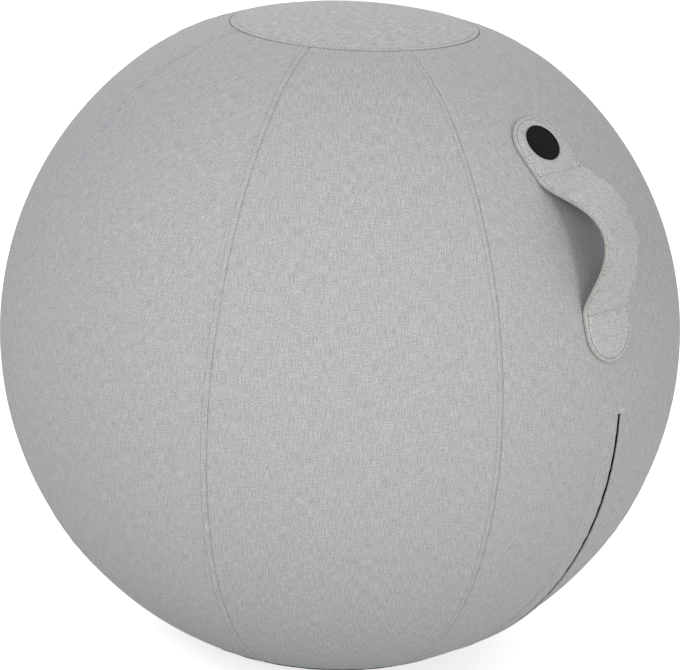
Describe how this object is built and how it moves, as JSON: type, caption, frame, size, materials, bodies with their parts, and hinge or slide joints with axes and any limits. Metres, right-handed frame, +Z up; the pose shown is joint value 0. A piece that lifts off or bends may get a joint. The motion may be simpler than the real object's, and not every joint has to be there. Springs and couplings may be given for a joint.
{
  "type": "sitting ball",
  "caption": "Inflated sitting ball in a sewn grey fabric cover, with a flat black non-slip base, a fabric carrying strap that lifts and a side zip with a travelling slider under a flap.",
  "frame": {"origin": "middle of the flat foot, on the floor", "axes": "+Z up through the middle of the round top panel; +X towards the strap and the zip"},
  "size_m": [0.6506, 0.6478, 0.6225],
  "materials": {
    "cover_fabric": "heathered light grey woven polyester, matt",
    "nonslip_base": "black rubber-coated non-slip fabric, matt",
    "ball_vinyl": "grey vinyl, satin",
    "valve_plastic": "white moulded plastic",
    "zip_tape": "black woven tape",
    "zip_teeth": "black moulded plastic",
    "zip_metal": "black enamelled die-cast metal",
    "strap_core": "cream felt, cut edge showing",
    "strap_lining": "darker grey woven polyester",
    "badge_rubber": "black moulded rubber, bare"
  },
  "bodies": {
    "cover": {"top_panel": "cover_fabric", "zip_panel": "cover_fabric", "side_panel_1": "cover_fabric", "side_panel_2": "cover_fabric", "side_panel_3": "cover_fabric", "side_panel_4": "cover_fabric", "side_panel_5": "cover_fabric", "side_panel_6": "cover_fabric", "side_panel_7": "cover_fabric", "zip_flap": "cover_fabric", "base_panel": "nonslip_base", "inner_ball": "ball_vinyl", "valve_plug": "valve_plastic", "zip_tape_left": "zip_tape", "zip_tape_right": "zip_tape", "zip_teeth_left": "zip_teeth", "zip_teeth_right": "zip_teeth", "zip_upper_stop": "zip_metal", "zip_end_stop_left": "zip_metal", "zip_end_stop_right": "zip_metal", "strap_upper_tab_face": "cover_fabric", "strap_upper_tab_core": "strap_core", "strap_upper_tab_lining": "strap_lining", "strap_lower_tab_face": "cover_fabric", "strap_lower_tab_core": "strap_core", "strap_lower_tab_lining": "strap_lining", "badge": "badge_rubber"},
    "strap": {"strap_arch_face": "cover_fabric", "strap_arch_core": "strap_core", "strap_arch_lining": "strap_lining"},
    "zip_slider": {"zip_slider": "zip_metal"},
    "zip_pull": {"zip_pull": "zip_metal"}
  },
  "joints": [
    {"name": "strap_lift", "type": "slide", "parent": "cover", "child": "strap", "axis": [0.8745, 0, 0.485], "range_m": [0, 0.008], "stiffness_N_per_m": 150},
    {"name": "zip_slide", "type": "hinge", "parent": "cover", "child": "zip_slider", "pos_m": [0, 0, 0.3108], "axis": [0, -1, 0], "range_deg": [0, 55.5], "deforming": ["zip_teeth_left", "zip_teeth_right"]},
    {"name": "zip_pull_swing", "type": "hinge", "parent": "zip_slider", "child": "zip_pull", "pos_m": [0.18041, 0.00757, 0.0404], "axis": [0.0129, -0.9997, -0.0194], "range_deg": [0, 150]}
  ]
}
